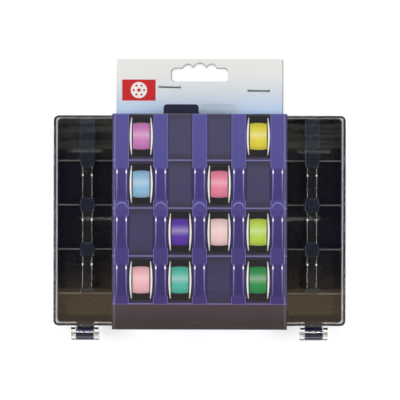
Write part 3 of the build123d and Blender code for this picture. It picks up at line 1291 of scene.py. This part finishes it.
@dataclass
class CardWrap:
    """The printed card round the box: header and base, which keep the CAD nodes' meshes, cover and staples."""

    cover: PrintedCover = field(default_factory=PrintedCover)
    staples: tuple[Staple, ...] = (Staple("staple_left", -1.5), Staple("staple_right", -0.5))

    def build(self, shared: SharedEffects) -> list[bpy.types.Object]:
        """Dresses the header and the base, and makes the cover and the staples.

        Args:
            shared: The shared effects.

        Returns:
            The pieces.
        """
        wire = StapleWire("staple_wire").material(shared)
        printed = PrintedBoard("printed_cover_board", Print.COVER, REST_PLACE).material(shared)
        header = PrintedBoard("printed_header_board", Print.HEADER).material(shared)
        base = PrintedBoard("printed_base_board", Print.BASE).material(shared)
        bare = PrintedBoard("bare_board", Print.BARE, REST_PLACE).material(shared)
        pieces = finish_nodes(["header_front"], header) + finish_nodes(["sleeve_base"], base)
        pieces.append(self.cover.build(printed, bare))
        return pieces + [staple.build(wire) for staple in self.staples]


@dataclass(frozen=True)
class SoftLamp:
    """A soft rectangular lamp that hangs at a place, in metres from the box, and points at it."""

    name: str
    place: tuple[float, float, float]
    size: tuple[float, float]
    watts: float

    def on_side(self, side: int) -> "SoftLamp":
        """The same lamp to the left of the box (-1) or to its right (1)."""
        return replace(self, name=f"{self.name}_{side}", place=(side * self.place[0], *self.place[1:]))

    def hang(self) -> bpy.types.Object:
        """Makes the lamp, which the camera doesn't see.

        Returns:
            The lamp.
        """
        light = bpy.data.lights.new(self.name, "AREA")
        light.shape = "RECTANGLE"
        light.size, light.size_y = self.size
        light.energy = self.watts
        made = bpy.data.objects.new(self.name, light)
        aim = (-Vector(self.place)).to_track_quat("-Z", "Y").to_matrix().to_4x4()
        made.matrix_world = Matrix.Translation(self.place) @ aim
        made.visible_camera = False
        bpy.context.scene.collection.objects.link(made)
        return made


@dataclass(frozen=True)
class MirroredRoom:
    """The room that the lid mirrors: a warm wall, a window blind and one thin tube, above the camera.

    Places and sizes are in millimetres, and a glow of 1 is white.
    """

    half: float = 500.0
    height: float = 900.0
    wall_y: float = -123.0
    wall_glow: float = 1.42
    wall_colour: Colour = srgb(214, 188, 138)
    pale_colour: Colour = srgb(206, 205, 186)
    blind_y: float = 88.0
    blind_glow: float = 1.1
    end_y: float = 85.0
    end_x: float = 172.0
    end_glow: float = 3.0
    tube_y: float = -17.7
    tube_half: float = 182.0
    tube_glow: float = 4.0

    def material(self) -> bpy.types.Material:
        """Builds the glowing shapes, on a surface that is clear between them.

        Returns:
            The material.
        """
        material, graph = empty_material("room_reflections")
        x, y, _ = graph.axes()
        wall = y.below(self.wall_y, 3.0)
        slats = graph.noise(150.0, 3.0, graph.stretched(0.03, 1.0, 1.0), 0.7)
        blind = y.above(self.blind_y, 4.0) * slats.above(0.50, 0.16)
        end = y.near(self.end_y, 1.5, 1.5) * abs(x).near(self.end_x, 24.0, 6.0)
        tube = y.near(self.tube_y, 1.4, 1.2) * abs(x).below(self.tube_half, 4.0)
        strength = (wall * self.wall_glow).most(blind * self.blind_glow)
        strength = strength.most(tube * self.tube_glow).most(end * self.end_glow)
        glow = graph.node("ShaderNodeEmission")
        graph.feed(glow.inputs["Color"], graph.mix(wall, self.pale_colour, self.wall_colour))
        graph.feed(glow.inputs["Strength"], strength)
        graph.surface(graph.node("ShaderNodeBsdfTransparent"), glow, strength.above(0.02, 0.04))
        return material

    def hang(self) -> None:
        """Hangs the room: a plane that faces down and is seen by mirrored rays alone."""
        corners = np.array([(-1, -1, 0), (1, -1, 0), (1, 1, 0), (-1, 1, 0)]) * self.half * MM
        corners[:, 2] = self.height * MM
        room = mesh_object("room_reflections", corners, [[3, 2, 1, 0]], self.material())
        room.visible_camera = room.visible_diffuse = room.visible_transmission = room.visible_shadow = False


@dataclass(frozen=True)
class Cove:
    """The white floor with its round wall, in metres. Where it is far off, the camera sees it a little brighter."""

    floor_r: float = 2.6
    bend_r: float = 0.5
    wall_h: float = 2.0
    drop: float = 0.0001
    middle_r: float = 0.02
    floor_rings: int = 14
    bend_rings: int = 10
    around: int = 64
    white: float = 0.82
    glow: float = 0.45
    far_glow: float = 0.35
    far_mm: float = 1300.0
    far_soft_mm: float = 1200.0

    def material(self) -> bpy.types.Material:
        """Builds the white: matt, with a glow that only the camera and mirrored or refracted rays see.

        Returns:
            The material.
        """
        material, graph = empty_material("studio_white")
        matt = graph.node("ShaderNodeBsdfDiffuse")
        graph.feed(matt.inputs["Color"], (self.white,) * 3)
        rays = graph.node("ShaderNodeLightPath").outputs
        camera = Field(graph, rays["Is Camera Ray"])
        seen = camera.most(Field(graph, rays["Is Glossy Ray"])).most(Field(graph, rays["Is Transmission Ray"]))
        x, y, _ = graph.axes()
        far = graph.math("SQRT", x * x + y * y).above(self.far_mm, self.far_soft_mm) * camera
        glow = graph.node("ShaderNodeEmission")
        graph.feed(glow.inputs["Strength"], seen * self.glow + far * self.far_glow)
        graph.surface(matt, glow)
        return material

    def build(self) -> None:
        """Makes the cove.

        Formula: a profile of radius and height, flat, then a quarter circle, then upright, turned about Z.
        """
        bend = np.linspace(0, np.pi / 2, self.bend_rings)[1:]
        flat = np.linspace(self.middle_r, self.floor_r - self.bend_r, self.floor_rings)
        radius = np.concatenate([flat, self.floor_r - self.bend_r + self.bend_r * np.sin(bend), [self.floor_r]])
        height = np.concatenate([np.zeros(len(flat)), self.bend_r * (1 - np.cos(bend)), [self.wall_h]]) - self.drop
        angle = np.linspace(0, 2 * np.pi, self.around, endpoint=False)
        points = np.empty((len(radius), self.around, 3))
        points[..., 0] = radius[:, None] * np.cos(angle)
        points[..., 1] = radius[:, None] * np.sin(angle)
        points[..., 2] = height[:, None]
        quads, index = tube_faces(len(radius), self.around)
        faces = quads.tolist() + [index[0].tolist()]
        mesh_object("studio_cove", points.reshape(-1, 3), faces, self.material())


@dataclass(frozen=True)
class PhotoCamera:
    """The photograph's camera: straight down, with a slight roll in degrees. Places are in metres."""

    mm_per_px: float = 0.5405
    photo_px: int = 400
    cover_z: float = 0.0256
    place: tuple[float, float, float] = (0.0002, 0.0112, 0.5106)
    roll: float = 0.13
    clip_start: float = 0.01

    def build(self) -> None:
        """Sets the camera, with the width of the photograph at the height of the cover."""
        data = bpy.data.cameras.new("photo_camera")
        reach = self.place[2] - self.cover_z
        data.angle = 2 * math.atan(self.photo_px / 2 * self.mm_per_px * MM / reach)
        data.clip_start = self.clip_start
        made = bpy.data.objects.new("photo_camera", data)
        made.matrix_world = Matrix.Translation(self.place) @ Matrix.Rotation(math.radians(self.roll), 4, "Z")
        bpy.context.scene.collection.objects.link(made)
        bpy.context.scene.camera = made


@dataclass(frozen=True)
class Studio:
    """The camera, the lamps, the tent, the cove and the mirrored room, none of them part of the object.

    The glint lamps hang on both sides of the box and only draw highlights along moulded edges.
    """

    camera: PhotoCamera = PhotoCamera()
    cove: Cove = Cove()
    room: MirroredRoom = MirroredRoom()
    lamps: tuple[SoftLamp, ...] = (
        SoftLamp("key", (-0.72, 0.95, 1.15), (0.25, 0.25), 3.5),
        SoftLamp("kicker", (0.80, 0.90, 1.15), (0.20, 0.20), 2.0),
        SoftLamp("left_strip", (-1.15, 0.00, 1.05), (0.55, 0.30), 5.5),
        SoftLamp("right_strip", (1.15, 0.00, 1.05), (0.55, 0.30), 5.0),
        SoftLamp("back_strip", (0.0, 1.30, 1.00), (0.80, 0.22), 4.5),
        SoftLamp("front_strip", (0.0, -1.35, 0.90), (0.80, 0.22), 3.0),
    )
    glint_lamps: tuple[SoftLamp, ...] = (
        SoftLamp("edge_glint", (1.15, -0.03, 1.05), (0.50, 0.45), 5.5),
        SoftLamp("dot_glint", (0.95, -0.75, 1.05), (0.07, 0.07), 60.0),
        SoftLamp("barrel_glint", (0.22, 0.62, 1.10), (0.10, 0.10), 5.0),
    )
    tent_colour: Colour = (1.0, 0.98, 0.95)
    tent_glow: float = 0.45
    tent_least: float = 0.03
    opening_deg: float = 14.0
    opening_edge_deg: float = 23.0

    def build(self) -> None:
        """Sets the camera and the light, and makes the cove and the room."""
        self.camera.build()
        for lamp in self.lamps:
            lamp.hang()
        self.tent()
        self.cove.build()
        self.room.hang()

    def tent(self) -> None:
        """Sets the world: a bright tent round a dark opening straight above."""
        world = bpy.data.worlds.new("tent")
        world.use_nodes = True
        graph = Graph(world.node_tree)
        background = world.node_tree.nodes["Background"]
        graph.feed(background.inputs["Color"], self.tent_colour)
        parts = graph.node("ShaderNodeSeparateXYZ")
        graph.tree.links.new(graph.node("ShaderNodeTexCoord").outputs["Generated"], parts.inputs[0])
        edge, full = (math.cos(math.radians(angle)) for angle in (self.opening_edge_deg, self.opening_deg))
        opening = graph.ramp(Field(graph, parts.outputs[2]), edge, full)
        graph.feed(background.inputs["Strength"], (1.0 - opening) * self.tent_glow + self.tent_least)
        bpy.context.scene.world = world

    def glints(self, nodes: Sequence[str]) -> None:
        """Hangs the glint lamps.

        Args:
            nodes: The CAD nodes that they light.
        """
        lit = bpy.data.collections.new("glint_receivers")
        for node in nodes:
            lit.objects.link(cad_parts[node])
        for side in (-1, 1):
            for lamp in self.glint_lamps:
                made = lamp.on_side(side).hang()
                made.visible_diffuse = made.visible_transmission = False
                made.light_linking.receiver_collection = lit


def main() -> None:
    """Builds the studio, dresses the CAD nodes and makes the new pieces, in order."""
    logging.basicConfig(level=logging.INFO, format="%(name)s %(message)s")
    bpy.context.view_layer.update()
    bpy.context.scene.view_settings.view_transform = "Standard"

    studio = Studio()
    studio.build()
    shared = SharedEffects()
    tray = Tray()
    pieces = tray.build(shared)
    studio.glints(tray.gloss_nodes())
    pieces += Lid().build(shared)
    pieces += CardWrap().build(shared)
    for piece in pieces:
        log.info("%s: %d faces, %s", piece.name, len(piece.data.polygons), piece.data.materials[0].name)


if __name__ == "__main__":
    main()
